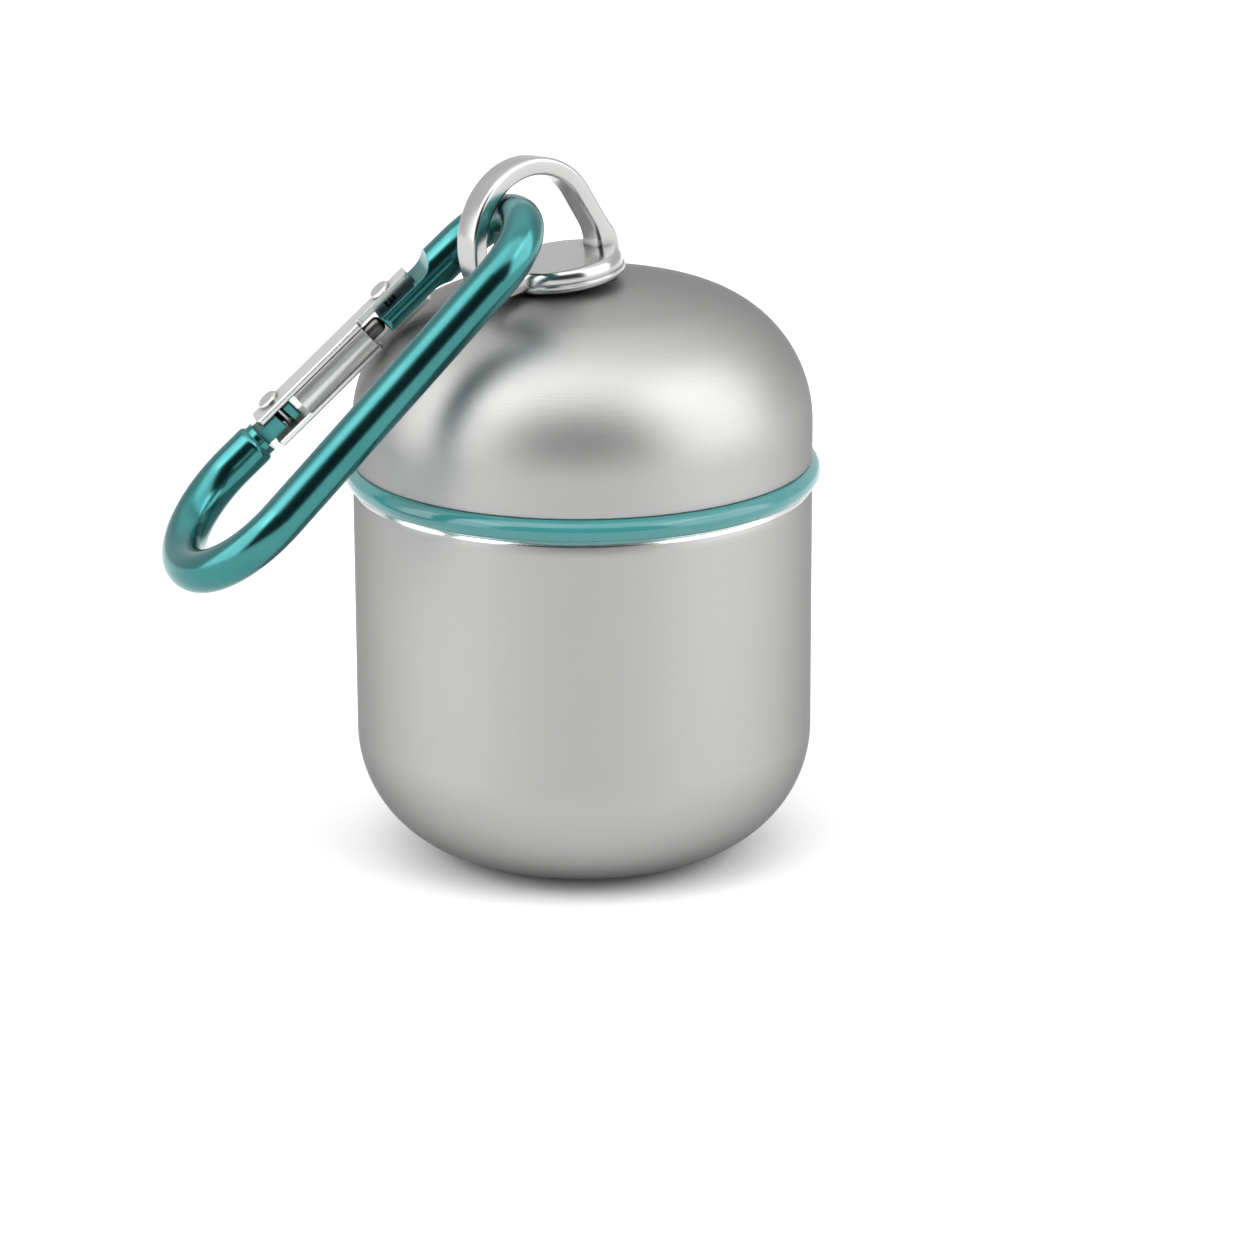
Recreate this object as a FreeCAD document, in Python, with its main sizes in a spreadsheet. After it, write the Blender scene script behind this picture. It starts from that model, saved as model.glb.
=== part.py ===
import FreeCAD, Part
import math
import os
import re
import Sketcher
from FreeCAD import Placement, Rotation, Vector

# Screw-top capsule case with a swivel eye on its lid and a small carabiner hooked through the eye.
# Millimetres, +Z up. The origin is on the case's axis, in the plane it stands on.
# The front is -Y, and the carabiner hangs over the -X side.

doc = FreeCAD.newDocument("EarplugCase")

# Driving dimensions
SIZES = {
    # Case
    "case_radius": 17.5,
    "base_height": 29.05,
    "base_corner": 9.6,
    "rim_chamfer": 0.25,
    "floor_thick": 2.0,
    "bore_corner": 7.5,
    "neck_setback": 1.25,
    "neck_wall": 1.25,
    "neck_height": 6.0,
    "neck_chamfer": 0.5,
    # Seal
    "seal_thick": 1.82,
    "seal_flat": 0.1,
    "seal_fit": 0.04,
    # Lid
    "thread_clearance": 0.08,
    "lid_skirt": 2.81,
    "lid_corner": 10.26,
    "crown_radius": 36.7,
    "lid_thick": 1.5,
    "bore_spare": 0.4,
    # Eye
    "disc_radius": 4.3,
    "disc_thick": 1.5,
    "disc_lip": 0.45,
    "disc_top_radius": 3.3,
    "edge_round": 0.25,
    "stud_radius": 1.0,
    "stud_play": 1.64,
    "stud_gap": 0.15,
    "rest_gap": 0.05,
    "eye_slack": 1.0,
    "tail_radius": 1.9,
    "tail_height": 0.8,
    "washer_radius": 3.8,
    "washer_thick": 0.8,
    "washer_fit": 0.05,
    "eye_lean": 7.4,
    "lean_azimuth": 200.0,
    "pull_azimuth": 230.4,
    "loop_azimuth": 41.0,
    "band_thick": 1.34,
    "band_width": 2.2,
    "band_round": 0.4,
    "loop_foot": 3.53,
    "loop_side": 7.465,
    "loop_turn": 65.0,
    "loop_bow": 5.49,
    "loop_heel": 2.5,
    "heel_start": 192.0,
    "leg_height": 0.6,
    # Carabiner
    "rod_radius": 1.62,
    "big_bend": 6.94,
    "small_bend": 4.89,
    "bend_distance": 23.5,
    "nose_setback": 2.6,
    "shoulder_round": 0.5,
    "spigot_radius": 1.35,
    "spigot_length": 0.45,
    "tongue_thick": 1.3,
    "nose_length": 3.75,
    "nose_outer": 1.4,
    "nose_inner": 0.4,
    "nose_round": 0.25,
    "latch_reach": 2.65,
    "latch_radius": 0.32,
    "latch_fit": 0.07,
    "pin_offset": 0.6,
    "pin_radius": 0.5,
    "pin_fit": 0.06,
    "head_radius": 0.85,
    "head_height": 0.3,
    "head_bevel": 0.12,
    "hinge_reach": 14.4,
    "heel_length": 1.4,
    "heel_round": 0.5,
    "cheek_length": 4.7,
    "cheek_runout": 1.8,
    # Gate
    "gate_outer": 1.4,
    "gate_inner": 0.95,
    "gate_bulge": 0.35,
    "gate_bevel": 0.35,
    "gate_round": 0.2,
    "prong_thick": 0.53,
    "ear_height": 0.25,
    "slot_fit": 0.3,
    "seam": 0.12,
    "gate_nose": 1.65,
    "gate_tail": 2.4,
    "nose_slot": 3.35,
    "tail_slot": 5.3,
    "prong_round": 0.4,
    "plunger_radius": 0.65,
    "plunger_offset": 0.1,
    "plunger_gap": 0.05,
    "plunger_seat": 1.6,
    "plunger_round": 0.45,
    "bore_fit": 0.06,
    "spring_length": 4.2,
    "spring_radius": 0.48,
    "spring_wire": 0.11,
    "spring_turns": 7,
    "spring_gap": 0.05,
    # How the carabiner hangs
    "hang_azimuth": 10.15,
    "hang_elevation": 43.23,
    "hang_roll": -172.91,
    "hang_angle": 182.5,
    "hang_along": 21.16,
    "hang_across": 4.38,
    "hang_clear": 0.15,
}

# Derived dimensions, each a formula of the ones above
RULES = {
    "neck_radius": "case_radius - neck_setback",
    "bore_radius": "neck_radius - neck_wall",
    "lid_edge": "base_height + seal_thick",
    "neck_top": "base_height + neck_height",
    "seal_inner": "neck_radius + seal_fit",
    "seal_half": "seal_thick / 2",
    "skirt_radius": "neck_radius + thread_clearance",
    "skirt_top": "neck_top + bore_spare",
    "wall_top": "lid_edge + lid_skirt",
    "corner_axis": "case_radius - lid_corner",
    "crown_drop": "sqrt((crown_radius - lid_corner)^2 - corner_axis^2)",
    "crown_centre": "wall_top - crown_drop",
    "apex": "crown_centre + crown_radius",
    "tangent_x": "crown_radius * corner_axis / (crown_radius - lid_corner)",
    "tangent_z": "crown_centre + crown_radius * crown_drop / (crown_radius - lid_corner)",
    "inner_corner": "lid_corner - lid_thick",
    "inner_crown": "crown_radius - lid_thick",
    "inner_x": "inner_crown * corner_axis / (crown_radius - lid_corner)",
    "inner_z": "crown_centre + inner_crown * crown_drop / (crown_radius - lid_corner)",
    "step_radius": "corner_axis + sqrt(inner_corner^2 - (skirt_top - wall_top)^2)",
    "hole_radius": "stud_radius + stud_play",
    "stud_grip": "lid_thick + eye_slack",
    "tail_top": "-stud_grip - washer_thick",
    "foot_top": "disc_thick + leg_height",
    "side_x": "loop_foot - loop_side",
    "turn_x": "side_x + loop_side * cos(loop_turn)",
    "turn_z": "foot_top + loop_side * sin(loop_turn)",
    "bow_x": "turn_x - loop_bow * cos(loop_turn)",
    "bow_z": "turn_z - loop_bow * sin(loop_turn)",
    "heel_top_x": "bow_x + loop_bow * cos(heel_start)",
    "heel_top_z": "bow_z + loop_bow * sin(heel_start)",
    "heel_x": "heel_top_x - loop_heel * cos(heel_start)",
    "heel_z": "heel_top_z - loop_heel * sin(heel_start)",
    "spine_angle": "2 * atan((big_bend - small_bend) / bend_distance)",
    "low_x": "-nose_setback",
    "low_spine_x": "low_x + big_bend * sin(spine_angle)",
    "low_spine_y": "big_bend + big_bend * cos(spine_angle)",
    "high_x": "low_x + bend_distance",
    "high_spine_x": "high_x + small_bend * sin(spine_angle)",
    "high_spine_y": "small_bend + small_bend * cos(spine_angle)",
    "tongue_half": "tongue_thick / 2",
    "tongue_end": "hinge_reach - heel_length",
    "cheek_end": "hinge_reach + cheek_length",
    "slot_half": "tongue_half + slot_fit",
    "gate_half": "slot_half + prong_thick",
    "gate_start": "latch_reach - hinge_reach - gate_nose",
    "nose_floor": "gate_start + nose_slot",
    "tail_floor": "gate_tail - tail_slot",
    "bore_length": "plunger_seat + spring_length",
    "plunger_length": "plunger_seat + tail_slot - gate_tail - heel_length - plunger_gap",
    "bore_radius_small": "plunger_radius + bore_fit",
}


def expand(formula):
    """Writes a formula out in driving dimensions only."""
    names = "|".join(sorted(RULES, key=len, reverse=True))
    pattern = re.compile(r"\b(" + names + r")\b")
    while pattern.search(formula):
        formula = pattern.sub(lambda found: "(" + RULES[found.group(1)] + ")", formula)
    return formula


def bound(formula):
    """The expression that ties a property to the sheet."""
    names = "|".join(sorted(SIZES, key=len, reverse=True))
    return re.sub(r"\b(" + names + r")\b", r"Sizes.\1", expand(formula))


def number(formula):
    """The present value of a formula."""
    result = sheet.evalExpression(bound(formula))
    return float(getattr(result, "Value", result))


def make_sheet():
    table = doc.addObject("Spreadsheet::Sheet", "Sizes")
    for row, (name, size) in enumerate(SIZES.items(), start=1):
        table.set("A%d" % row, name)
        table.set("B%d" % row, str(size))
        table.setAlias("B%d" % row, name)
    doc.recompute()
    return table


def tie(feature, name, formula):
    feature.setExpression(name, bound(formula))


# Drawing helpers

def new_body(label):
    body = doc.addObject("PartDesign::Body", label)
    body.Label = label
    return body


def plane(body, role):
    return next(item for item in body.Origin.OriginFeatures if item.Role == role)


def new_sketch(body, name, role, shift=None):
    """A sketch on an origin plane, moved by a formula along the plane's normal."""
    sketch = body.newObject("Sketcher::SketchObject", name)
    sketch.AttachmentSupport = [(plane(body, role), "")]
    sketch.MapMode = "FlatFace"
    if shift is not None:
        tie(sketch, ".AttachmentOffset.Base.z", shift)
    doc.recompute()
    return sketch


def hold(sketch, geometry, end, along, formula):
    """Pins one coordinate of a point of a sketch to a formula."""
    axis = {"DistanceX": -2, "DistanceY": -1}[along]
    if formula == "0":
        sketch.addConstraint(Sketcher.Constraint("PointOnObject", geometry, end, axis))
        return
    index = sketch.addConstraint(Sketcher.Constraint(along, -1, 1, geometry, end, number(formula)))
    tie(sketch, "Constraints[%d]" % index, formula)


def arc_middle(start, end, radius, turn):
    """The middle of the short arc from start to end, turning left (1) or right (-1)."""
    chord = end - start
    half = chord.Length / 2
    rise = radius - math.sqrt(max(radius * radius - half * half, 0.0))
    side = Vector(chord.y, -chord.x, 0).normalize() * turn
    return start + chord * 0.5 + side * rise


def draw(sketch, start, steps, closed=True):
    """Draws lines and arcs whose ends and radii follow formulas.

    A step is (x, y) for a line, or (x, y, radius, turn) for an arc.
    """
    here = Vector(number(start[0]), number(start[1]), 0)
    opening = None
    for step in steps:
        there = Vector(number(step[0]), number(step[1]), 0)
        if len(step) == 2:
            index = sketch.addGeometry(Part.LineSegment(here, there), False)
            begin, finish = 1, 2
        else:
            radius = number(step[2])
            middle = arc_middle(here, there, radius, step[3])
            index = sketch.addGeometry(Part.Arc(here, middle, there), False)
            begin, finish = (1, 2) if step[3] > 0 else (2, 1)
            rule = sketch.addConstraint(Sketcher.Constraint("Radius", index, radius))
            tie(sketch, "Constraints[%d]" % rule, step[2])
        if opening is None:
            opening = (index, begin)
            hold(sketch, index, begin, "DistanceX", start[0])
            hold(sketch, index, begin, "DistanceY", start[1])
        else:
            sketch.addConstraint(Sketcher.Constraint("Coincident", index - 1, last, index, begin))
        if closed and step is steps[-1]:
            sketch.addConstraint(Sketcher.Constraint("Coincident", index, finish, *opening))
        else:
            hold(sketch, index, finish, "DistanceX", step[0])
            hold(sketch, index, finish, "DistanceY", step[1])
        here, last = there, finish


def circle(sketch, x, y, radius):
    centre = Vector(number(x), number(y), 0)
    index = sketch.addGeometry(Part.Circle(centre, Vector(0, 0, 1), number(radius)), False)
    hold(sketch, index, 3, "DistanceX", x)
    hold(sketch, index, 3, "DistanceY", y)
    rule = sketch.addConstraint(Sketcher.Constraint("Radius", index, number(radius)))
    tie(sketch, "Constraints[%d]" % rule, radius)


def rectangle(sketch, left, low, right, high):
    draw(sketch, (left, low), [(right, low), (right, high), (left, high), (left, low)])


def revolve(body, name, start, steps):
    """Turns a half section, drawn as radius and height, about the body's Z axis."""
    sketch = new_sketch(body, name + "Section", "XZ_Plane")
    draw(sketch, start, steps)
    turned = body.newObject("PartDesign::Revolution", name)
    turned.Profile = sketch
    turned.ReferenceAxis = (sketch, ["V_Axis"])
    turned.Angle = 360
    doc.recompute()
    return turned


def pad(body, name, sketch, length, symmetric=False):
    made = body.newObject("PartDesign::Pad", name)
    made.Profile = sketch
    made.Midplane = symmetric
    tie(made, "Length", length)
    doc.recompute()
    return made


def pocket(body, name, sketch, length, symmetric=False, reverse=False):
    """Cuts a sketch into the body and checks that it took material away."""
    before = body.Shape.Volume
    made = body.newObject("PartDesign::Pocket", name)
    made.Profile = sketch
    made.Midplane = symmetric
    made.Reversed = reverse
    tie(made, "Length", length)
    doc.recompute()
    if body.Shape.Volume >= before:
        raise ValueError(name + " cuts nothing")
    return made


def pipe(body, name, profile, path):
    """Sweeps a closed profile along a chain of tangent lines and arcs."""
    swept = body.newObject("PartDesign::AdditivePipe", name)
    swept.Profile = profile
    swept.Spine = (path, ["Edge%d" % (index + 1) for index in range(path.GeometryCount)])
    doc.recompute()
    return swept


# Case

def base_cup():
    """Turned cup with a rounded foot, a chamfered rim and the neck that the lid screws on."""
    body = new_body("base_cup")
    revolve(body, "CupWall", ("0", "0"), [
        ("case_radius - base_corner", "0"),
        ("case_radius", "base_corner", "base_corner", 1),
        ("case_radius", "base_height - rim_chamfer"),
        ("case_radius - rim_chamfer", "base_height"),
        ("neck_radius", "base_height"),
        ("neck_radius", "neck_top - neck_chamfer"),
        ("neck_radius - neck_chamfer", "neck_top"),
        ("bore_radius", "neck_top"),
        ("bore_radius", "floor_thick + bore_corner"),
        ("bore_radius - bore_corner", "floor_thick", "bore_corner", -1),
        ("0", "floor_thick"),
        ("0", "0"),
    ])
    return body


def seal_ring():
    """Rubber ring on the neck, squeezed to a flat band where the base and the lid press on it."""
    body = new_body("seal_ring")
    inner = "seal_inner + seal_half"
    outer = "seal_inner + seal_half + seal_flat"
    middle = "base_height + seal_half"
    revolve(body, "Seal", (inner, "base_height"), [
        (outer, "base_height"),
        (outer + " + seal_half", middle, "seal_half", 1),
        (outer, "lid_edge", "seal_half", 1),
        (inner, "lid_edge"),
        ("seal_inner", middle, "seal_half", 1),
        (inner, "base_height", "seal_half", 1),
    ])
    return body


def lid_dome():
    """Turned dome: straight skirt, tight corner, flatter crown, and the hole for the eye's stud."""
    body = new_body("lid_dome")
    revolve(body, "Dome", ("skirt_radius", "lid_edge"), [
        ("case_radius", "lid_edge"),
        ("case_radius", "wall_top"),
        ("tangent_x", "tangent_z", "lid_corner", 1),
        ("0", "apex", "crown_radius", 1),
        ("0", "apex - lid_thick"),
        ("inner_x", "inner_z", "inner_crown", -1),
        ("step_radius", "skirt_top", "inner_corner", -1),
        ("skirt_radius", "skirt_top"),
        ("skirt_radius", "lid_edge"),
    ])
    hole = new_sketch(body, "StudHoleOutline", "XY_Plane", "inner_z")
    circle(hole, "0", "0", "hole_radius")
    pocket(body, "StudHole", hole, "2 * (apex - inner_z)", reverse=True)
    return body


# Swivel eye

def eye_place():
    """Where the eye stands: pulled to one side of its hole and leaning flat against the crown."""
    lean = math.radians(number("eye_lean"))
    azimuth = math.radians(number("lean_azimuth"))
    pull = math.radians(number("pull_azimuth"))
    normal = Vector(math.sin(lean) * math.cos(azimuth), math.sin(lean) * math.sin(azimuth), math.cos(lean))
    centre = Vector(0, 0, number("crown_centre"))
    shift = number("stud_play - stud_gap")
    wall = Vector(shift * math.cos(pull), shift * math.sin(pull), number("apex - lid_thick / 2"))
    rise = number("crown_radius + rest_gap") - (wall - centre).dot(normal)
    spot = wall + normal * rise
    tilt = Rotation(Vector(0, 0, 1), normal)
    return Placement(spot, tilt * Rotation(Vector(0, 0, 1), number("loop_azimuth")))


def swivel_eye():
    """One casting: disc with a stepped edge, stud with its peened tail, and the loop."""
    body = new_body("swivel_eye")
    revolve(body, "DiscAndStud", ("0", "tail_top - tail_height"), [
        ("tail_radius - edge_round", "tail_top - tail_height"),
        ("tail_radius", "tail_top - tail_height + edge_round", "edge_round", 1),
        ("tail_radius", "tail_top"),
        ("stud_radius", "tail_top"),
        ("stud_radius", "0"),
        ("disc_radius - edge_round", "0"),
        ("disc_radius", "edge_round", "edge_round", 1),
        ("disc_radius", "disc_lip"),
        ("disc_radius - edge_round", "disc_lip"),
        ("disc_top_radius", "disc_thick", "1.05 * (disc_radius - disc_top_radius)", 1),
        ("0", "disc_thick"),
        ("0", "tail_top - tail_height"),
    ])
    path = new_sketch(body, "LoopPath", "XZ_Plane")
    draw(path, ("loop_foot", "disc_thick / 2"), [
        ("loop_foot", "foot_top"),
        ("turn_x", "turn_z", "loop_side", 1),
        ("bow_x", "bow_z + loop_bow", "loop_bow", 1),
        ("heel_top_x", "heel_top_z", "loop_bow", 1),
        ("heel_x", "heel_z - loop_heel", "loop_heel", 1),
        ("-disc_top_radius", "heel_z - loop_heel"),
    ], closed=False)
    profile = new_sketch(body, "LoopProfile", "XY_Plane", "disc_thick / 2")
    rounded(profile, "loop_foot", "band_thick", "band_width", "band_round")
    pipe(body, "Loop", profile, path)
    return body


def rounded(sketch, x, thick, width, corner):
    """A rectangle with rounded corners about (x, 0)."""
    left = "%s - %s / 2" % (x, thick)
    right = "%s + %s / 2" % (x, thick)
    low = "-%s / 2" % width
    high = "%s / 2" % width
    draw(sketch, (left + " + " + corner, low), [
        (right + " - " + corner, low),
        (right, low + " + " + corner, corner, 1),
        (right, high + " - " + corner),
        (right + " - " + corner, high, corner, 1),
        (left + " + " + corner, high),
        (left, high + " - " + corner, corner, 1),
        (left, low + " + " + corner),
        (left + " + " + corner, low, corner, 1),
    ])


def eye_washer():
    """Washer that the peened tail holds against the inside of the lid."""
    body = new_body("eye_washer")
    revolve(body, "Washer", ("stud_radius + washer_fit", "tail_top"), [
        ("washer_radius", "tail_top"),
        ("washer_radius", "-stud_grip"),
        ("stud_radius + washer_fit", "-stud_grip"),
        ("stud_radius + washer_fit", "tail_top"),
    ])
    return body


# Carabiner

def carabiner_hook():
    """One bent rod with a latch nose at one end and a flat hinge tongue at the other."""
    body = new_body("carabiner_hook")
    path = new_sketch(body, "RodPath", "XY_Plane")
    draw(path, ("0", "0"), [
        ("low_x", "0"),
        ("low_x - big_bend", "big_bend", "big_bend", -1),
        ("low_spine_x", "low_spine_y", "big_bend", -1),
        ("high_spine_x", "high_spine_y"),
        ("high_x + small_bend", "small_bend", "small_bend", -1),
        ("high_x", "0", "small_bend", -1),
        ("tongue_end", "0"),
    ], closed=False)
    profile = new_sketch(body, "RodSection", "YZ_Plane")
    circle(profile, "0", "0", "rod_radius")
    pipe(body, "Rod", profile, path)
    fillet(body, "Shoulder", "shoulder_round", lambda edge: edge_at(edge, 0.0))
    spigot = new_sketch(body, "SpigotOutline", "YZ_Plane", "-shoulder_round")
    circle(spigot, "0", "0", "spigot_radius")
    pad(body, "Spigot", spigot, "shoulder_round + spigot_length")
    nose = new_sketch(body, "NoseOutline", "XY_Plane")
    draw(nose, ("-shoulder_round", "-nose_outer"), [
        ("nose_length - nose_round", "-nose_outer"),
        ("nose_length", "nose_round - nose_outer", "nose_round", 1),
        ("nose_length", "nose_inner - nose_round"),
        ("nose_length - nose_round", "nose_inner", "nose_round", 1),
        ("-shoulder_round", "nose_inner"),
        ("-shoulder_round", "-nose_outer"),
    ])
    pad(body, "Nose", nose, "tongue_thick", symmetric=True)
    notch = new_sketch(body, "LatchNotchOutline", "XY_Plane")
    draw(notch, ("latch_reach - latch_radius - latch_fit", "nose_inner + 1"), [
        ("latch_reach - latch_radius - latch_fit", "-pin_offset"),
        ("latch_reach", "-pin_offset - latch_radius - latch_fit", "latch_radius + latch_fit", 1),
        ("latch_reach + latch_radius + latch_fit", "-pin_offset", "latch_radius + latch_fit", 1),
        ("latch_reach + latch_radius + latch_fit", "nose_inner + 1"),
        ("latch_reach - latch_radius - latch_fit", "nose_inner + 1"),
    ])
    pocket(body, "LatchNotch", notch, "2 * tongue_thick", symmetric=True)
    cheeks = new_sketch(body, "CheekCutOutline", "XZ_Plane")
    for side, turn in (("", 1), ("-", -1)):
        draw(cheeks, ("tongue_end - 1", side + "tongue_half"), [
            ("cheek_end - cheek_runout", side + "tongue_half"),
            ("cheek_end", side + "(tongue_half + cheek_runout)", "cheek_runout", turn),
            ("tongue_end - 1", side + "(tongue_half + cheek_runout)"),
            ("tongue_end - 1", side + "tongue_half"),
        ])
    pocket(body, "CheekCut", cheeks, "4 * rod_radius", symmetric=True)
    heel = new_sketch(body, "HeelRoundOutline", "XY_Plane")
    for side, turn in (("", -1), ("-", 1)):
        draw(heel, ("tongue_end", side + "(rod_radius - heel_round)"), [
            ("tongue_end + heel_round", side + "rod_radius", "heel_round", turn),
            ("tongue_end + heel_round", side + "(rod_radius + 1)"),
            ("tongue_end - 1", side + "(rod_radius + 1)"),
            ("tongue_end - 1", side + "(rod_radius - heel_round)"),
            ("tongue_end", side + "(rod_radius - heel_round)"),
        ])
    pocket(body, "HeelRound", heel, "2 * rod_radius", symmetric=True)
    hinge = new_sketch(body, "HingeHoleOutline", "XY_Plane")
    circle(hinge, "hinge_reach", "-pin_offset", "pin_radius + pin_fit")
    pocket(body, "HingeHole", hinge, "2 * tongue_thick", symmetric=True)
    return body


def edge_at(edge, x):
    """Whether an edge lies wholly at one place along the body's X axis."""
    box = edge.BoundBox
    return abs(box.XMin - x) < 1e-4 and abs(box.XMax - x) < 1e-4


def fillet(body, name, radius, wanted):
    base = body.Tip
    edges = ["Edge%d" % (index + 1) for index, edge in enumerate(base.Shape.Edges) if wanted(edge)]
    made = body.newObject("PartDesign::Fillet", name)
    made.Base = (base, edges)
    tie(made, "Radius", radius)
    doc.recompute()
    return made


def gate_bar():
    """Solid bar with a forked end for the nose, a forked end for the tongue, and the plunger's bore."""
    body = new_body("gate_bar")
    section = new_sketch(body, "BarSection", "YZ_Plane", "gate_start")
    bulge = "(slot_half^2 + gate_bulge^2) / (2 * gate_bulge)"
    draw(section, ("-gate_outer", "gate_bevel - gate_half"), [
        ("gate_bevel - gate_outer", "-gate_half"),
        ("gate_inner - gate_round", "-gate_half"),
        ("gate_inner", "gate_round - gate_half", "gate_round", 1),
        ("gate_inner", "-slot_half - seam"),
        ("gate_inner - seam", "-slot_half"),
        ("gate_inner", "-slot_half"),
        ("gate_inner + gate_bulge", "0", bulge, 1),
        ("gate_inner", "slot_half", bulge, 1),
        ("gate_inner - seam", "slot_half"),
        ("gate_inner", "slot_half + seam"),
        ("gate_inner", "gate_half - gate_round"),
        ("gate_inner - gate_round", "gate_half", "gate_round", 1),
        ("gate_bevel - gate_outer", "gate_half"),
        ("-gate_outer", "gate_half - gate_bevel"),
        ("-gate_outer", "gate_bevel - gate_half"),
    ])
    pad(body, "Bar", section, "gate_tail - gate_start")
    slots = new_sketch(body, "SlotOutline", "XZ_Plane")
    rectangle(slots, "gate_start - 1", "-slot_half", "nose_floor", "slot_half")
    rectangle(slots, "tail_floor", "-slot_half", "gate_tail + 1", "slot_half")
    pocket(body, "Slots", slots, "4 * (gate_outer + gate_bulge)", symmetric=True)
    ears = new_sketch(body, "EarOutline", "XY_Plane")
    draw(ears, ("tail_floor", "gate_inner + gate_bulge + 1"), [
        ("tail_floor", "ear_height + prong_round"),
        ("tail_floor + prong_round", "ear_height", "prong_round", 1),
        ("gate_tail + 1", "ear_height"),
        ("gate_tail + 1", "gate_inner + gate_bulge + 1"),
        ("tail_floor", "gate_inner + gate_bulge + 1"),
    ])
    pocket(body, "Ears", ears, "4 * gate_half", symmetric=True)
    ends = new_sketch(body, "ProngRoundOutline", "XY_Plane")
    for end, out, turn, top in (("gate_start", "-", 1, "gate_inner"), ("gate_tail", "+", -1, "ear_height")):
        back = {"-": "+", "+": "-"}[out]
        for level, away, swing in (("-gate_outer", "-", turn), (top, "+", -turn)):
            near = {"-": "+", "+": "-"}[away]
            draw(ends, (end, level + near + "prong_round"), [
                (end + back + "prong_round", level, "prong_round", swing),
                (end + back + "prong_round", level + away + "1"),
                (end + out + "1", level + away + "1"),
                (end + out + "1", level + near + "prong_round"),
                (end, level + near + "prong_round"),
            ])
    pocket(body, "ProngRound", ends, "4 * gate_half", symmetric=True)
    pins = new_sketch(body, "PinHoleOutline", "XY_Plane")
    circle(pins, "0", "-pin_offset", "pin_radius")
    circle(pins, "latch_reach - hinge_reach", "-pin_offset", "latch_radius")
    pocket(body, "PinHoles", pins, "4 * gate_half", symmetric=True)
    bore = new_sketch(body, "PlungerBoreOutline", "YZ_Plane", "tail_floor")
    circle(bore, "plunger_offset", "0", "bore_radius_small")
    pocket(body, "PlungerBore", bore, "bore_length")
    return body


def pin(label, radius):
    """Pin through both prongs: a bevelled head on the near cheek, the far end peened flush."""
    body = new_body(label)
    top = "gate_half + head_height"
    revolve(body, "Pin", ("0", "-(%s)" % top), [
        ("head_radius - head_bevel", "-(%s)" % top),
        ("head_radius", "head_bevel - (%s)" % top),
        ("head_radius", "-gate_half"),
        (radius, "-gate_half"),
        (radius, "gate_half"),
        ("0", "gate_half"),
        ("0", "-(%s)" % top),
    ])
    return body


def gate_plunger():
    """Round-nosed plunger that the spring presses against the tongue's heel."""
    body = new_body("gate_plunger")
    revolve(body, "Plunger", ("0", "0"), [
        ("plunger_radius", "0"),
        ("plunger_radius", "plunger_length - plunger_round"),
        ("plunger_radius - plunger_round", "plunger_length", "plunger_round", 1),
        ("0", "plunger_length"),
        ("0", "0"),
    ])
    return body


def gate_spring():
    """Coil spring in the bore behind the plunger."""
    body = new_body("gate_spring")
    wire = new_sketch(body, "WireSection", "XZ_Plane")
    circle(wire, "spring_radius", "spring_wire", "spring_wire")
    coil = body.newObject("PartDesign::AdditiveHelix", "Coil")
    coil.Profile = wire
    coil.ReferenceAxis = (wire, ["V_Axis"])
    coil.Mode = "height-turns-angle"
    tie(coil, "Height", "spring_length - 2 * spring_wire - 2 * spring_gap")
    tie(coil, "Turns", "spring_turns")
    doc.recompute()
    return body


# Places

def hook_at(rise):
    """The hook's frame with its rod through the eye's loop and its gate at an angle above level."""
    azimuth = math.radians(number("hang_azimuth"))
    roll = math.radians(number("hang_roll"))
    along = Vector(math.cos(rise) * math.cos(azimuth), math.cos(rise) * math.sin(azimuth), math.sin(rise))
    level = Vector(-math.sin(azimuth), math.cos(azimuth), 0)
    steep = along.cross(level)
    across = level * math.cos(roll) + steep * math.sin(roll)
    turn = Rotation(along, across, along.cross(across), "XYZ")
    angle = math.radians(number("hang_angle"))
    bow = number("loop_bow")
    carried = Vector(number("bow_x") + bow * math.cos(angle), 0, number("bow_z") + bow * math.sin(angle))
    point = eye_place().multVec(carried)
    return Placement(point - turn.multVec(Vector(number("hang_along"), number("hang_across"), 0)), turn)


def gate_edge():
    """Points along the two far edges of the gate, in the hook's frame."""
    start = number("latch_reach - gate_nose")
    step = (number("hinge_reach + gate_tail") - start) / 40
    inner = Vector(start, number("gate_inner - gate_round / 3"), number("gate_half - gate_round / 3"))
    outer = Vector(start, number("gate_bevel - gate_outer"), number("gate_half"))
    return [corner + Vector(step * index, 0, 0) for corner in (inner, outer) for index in range(41)]


def lid_gap(spots):
    """The least distance of some points from the lid's outer face, below nothing inside the lid."""
    wall, wall_top = number("case_radius"), number("wall_top")
    corner, corner_axis = number("lid_corner"), number("corner_axis")
    crown, crown_centre = number("crown_radius"), number("crown_centre")
    reach, rise = number("tangent_x"), number("tangent_z - crown_centre")
    gaps = []
    for spot in spots:
        radius = math.hypot(spot.x, spot.y)
        if spot.z < wall_top:
            gaps.append(radius - wall)
        elif radius * rise < reach * (spot.z - crown_centre):
            gaps.append(math.hypot(radius, spot.z - crown_centre) - crown)
        else:
            gaps.append(math.hypot(radius - corner_axis, spot.z - wall_top) - corner)
    return min(gaps)


def hook_place():
    """The hook hangs as steeply as the loop lets it, or less where its gate would touch the lid."""
    edge = gate_edge()
    clear = number("hang_clear")
    level, steep = 0.0, math.radians(number("hang_elevation"))
    place = hook_at(steep)
    if lid_gap([place.multVec(spot) for spot in edge]) >= clear:
        return place
    for _ in range(24):
        middle = (level + steep) / 2
        place = hook_at(middle)
        if lid_gap([place.multVec(spot) for spot in edge]) >= clear:
            level = middle
        else:
            steep = middle
    return hook_at(level)


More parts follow.
